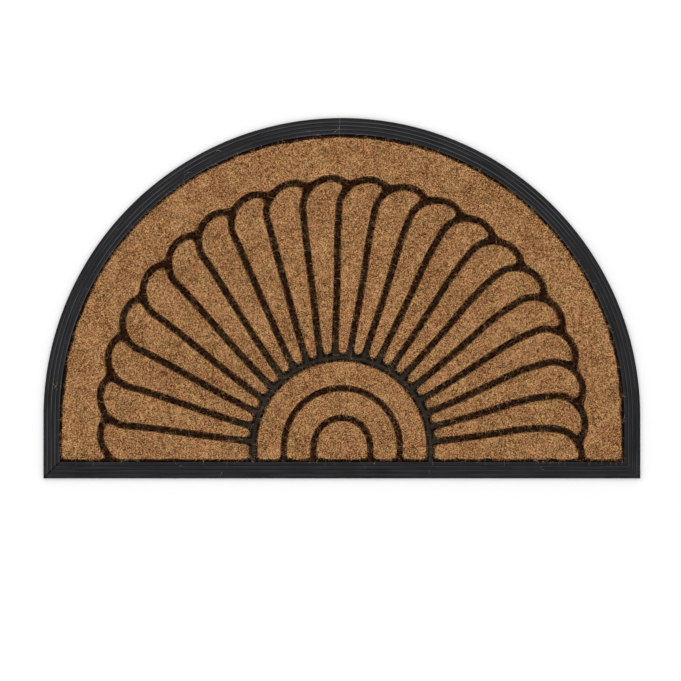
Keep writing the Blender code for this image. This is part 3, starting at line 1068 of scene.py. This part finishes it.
def draped(plan):
    """Adds heights to (n, k, 2) places: on the border, above a rib, or on the pile."""
    flat = plan.reshape(-1, 2)
    inset = inset_of(flat)
    on_border = border_height(np.clip(inset, EDGE_ROUND, BORDER_WIDTH)) + 0.3 * MM
    over_rib = nearest_on_ribs(flat)[1] < PILE_TO_RIB
    off_border = np.where(over_rib, RIM_HEIGHT + 3 * MM, PILE_TOP)
    height = np.where(inset < BORDER_WIDTH, on_border, off_border).reshape(plan.shape[:2])
    beside = np.pad(height, ((0, 0), (1, 1)), mode="edge")
    smooth = (beside[:, :-2] + height + beside[:, 2:]) / 3
    height = np.maximum(smooth, on_border.reshape(height.shape))
    return np.concatenate([plan, height[..., None]], axis=-1)


def arcs(middles, headings, lengths, rng):
    """Plan of hairs: arcs of HAIR_STATIONS places through their middles."""
    share = np.linspace(-0.5, 0.5, HAIR_STATIONS)
    turn = headings[:, None] + rng.normal(0, HAIR_TURN, (len(headings), 1)) * share
    steps = np.stack([np.cos(turn), np.sin(turn)], axis=-1) * (lengths / HAIR_STATIONS)[:, None, None]
    plan = np.cumsum(steps, axis=1)
    return middles[:, None] + plan - plan[:, HAIR_STATIONS // 2, None]


def hairs_along(line, count, inward, lengths, rng):
    """Hairs whose middles lie near a line, turned any way."""
    middles = line[rng.choice(len(line), count)] + rng.normal(0, inward, (count, 2))
    return arcs(middles, rng.uniform(0, 2 * math.pi, count), rng.uniform(*lengths, count), rng)


print("threads laid by hand:", len(THREADS))

# %% [markdown]
# Most hairs are scattered along the ribs and the pile's edge by a seeded draw, and the threads
# are laid through their own bends. All of them make one piece.

# %% Hair piece
rng = np.random.default_rng(77)
pile_edge = even_steps(half_round([WALL_FOOT])[0], 1 * MM)
mid_border = even_steps(half_round([0.5 * BORDER_WIDTH])[0], 1 * MM)
plans = np.concatenate([
    hairs_along(rib_line, 150, 1.5 * MM, (6 * MM, 15 * MM), rng),
    hairs_along(pile_edge, 80, 1.0 * MM, (5 * MM, 12 * MM), rng),
    hairs_along(mid_border, 9, 3.0 * MM, (4 * MM, 10 * MM), rng),
])
widths = rng.uniform(*HAIR_WIDTHS, len(plans)) * MM
hairs = strands(draped(plans), widths, rng.uniform(*HAIRS, len(plans)))
threads = []
for bends in THREADS:
    bends = np.array(bends) * MM
    line = even_steps(smooth_through(bends, towards(bends[0], bends[1])), 1.5 * MM)
    threads.append(strands(draped(line[None]), np.array([THREAD_WIDTH]), np.array([np.mean(HAIRS)])))
hair_piece = joined("loose_hairs", [hairs, *threads])
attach(hair_piece, "root")
print("loose hairs:", len(plans) + len(threads))

# %% [markdown]

# %% [markdown]
# ## Floor, light and camera
# A mat is shown from straight above on a white floor. An even sky gives the soft shade round
# its edge, and one broad lamp behind the arch adds a little direction, so that ridges and tufts
# read.

# %% Studio
SKY, LAMP_POWER = 0.98, 5.0
LAMP_PLACE, LAMP_SIZE, LAMP_SLANT = (-0.3, 1.5, 1.9), 1.6, 2.42
FLOOR_REACH, FLOOR_DROP = 4.0, 0.2 * MM
FRAME_WIDTH = 0.8555
CAMERA_HEIGHT = 3.2
LOOKS_AT = (-0.0017, -0.0532)

bpy.context.scene.view_settings.view_transform = "Standard"
world = bpy.data.worlds.new("even_sky")
bpy.context.scene.world = world
world.use_nodes = True
sky = world.node_tree.nodes["Background"]
sky.inputs["Color"].default_value = (1.0, 1.0, 1.0, 1.0)
sky.inputs["Strength"].default_value = SKY

lamp_data = bpy.data.lights.new("broad_lamp", "AREA")
lamp_data.shape = "SQUARE"
lamp_data.size = LAMP_SIZE
lamp_data.energy = LAMP_POWER
lamp = bpy.data.objects.new("broad_lamp", lamp_data)
lamp.location = LAMP_PLACE
across, back, up = LAMP_PLACE
lamp.rotation_euler = (-math.atan2(back, up), math.atan2(across, LAMP_SLANT), 0.0)
bpy.context.scene.collection.objects.link(lamp)
print("lamp of", LAMP_POWER, "watts")

# %% Floor
floor_finish = Finish("pale_floor", Roughness=0.9, Specular_IOR_Level=0.1)
floor_tone = floor_finish.noise(floor_finish.node("ShaderNodeTexCoord", {}, {}, 3), 3.0)
floor_shade = floor_finish.mix(floor_tone, (0.98, 0.98, 0.98, 1), (0.995, 0.995, 0.995, 1))
floor_finish.wear("Base Color", floor_shade)
floor_corners = [
    (across * FLOOR_REACH, up * FLOOR_REACH, -FLOOR_DROP)
    for across, up in ((-1, -1), (1, -1), (1, 1), (-1, 1))
]
floor_mesh = bpy.data.meshes.new("floor")
floor_mesh.from_pydata(floor_corners, [], [(0, 1, 2, 3)])
floor_mesh.materials.append(floor_finish.material)
floor_plane = bpy.data.objects.new("floor", floor_mesh)
bpy.context.scene.collection.objects.link(floor_plane)
print("floor reaches", FLOOR_REACH, "m each way")

# %% Camera
camera_data = bpy.data.cameras.new("overhead")
camera_data.sensor_width = 36.0
camera_data.lens = 36.0 * (CAMERA_HEIGHT - EDGE_HEIGHT) / FRAME_WIDTH
camera = bpy.data.objects.new("overhead", camera_data)
camera.location = (*LOOKS_AT, CAMERA_HEIGHT)
bpy.context.scene.collection.objects.link(camera)
bpy.context.scene.camera = camera
print("camera lens in mm:", round(camera_data.lens, 1))
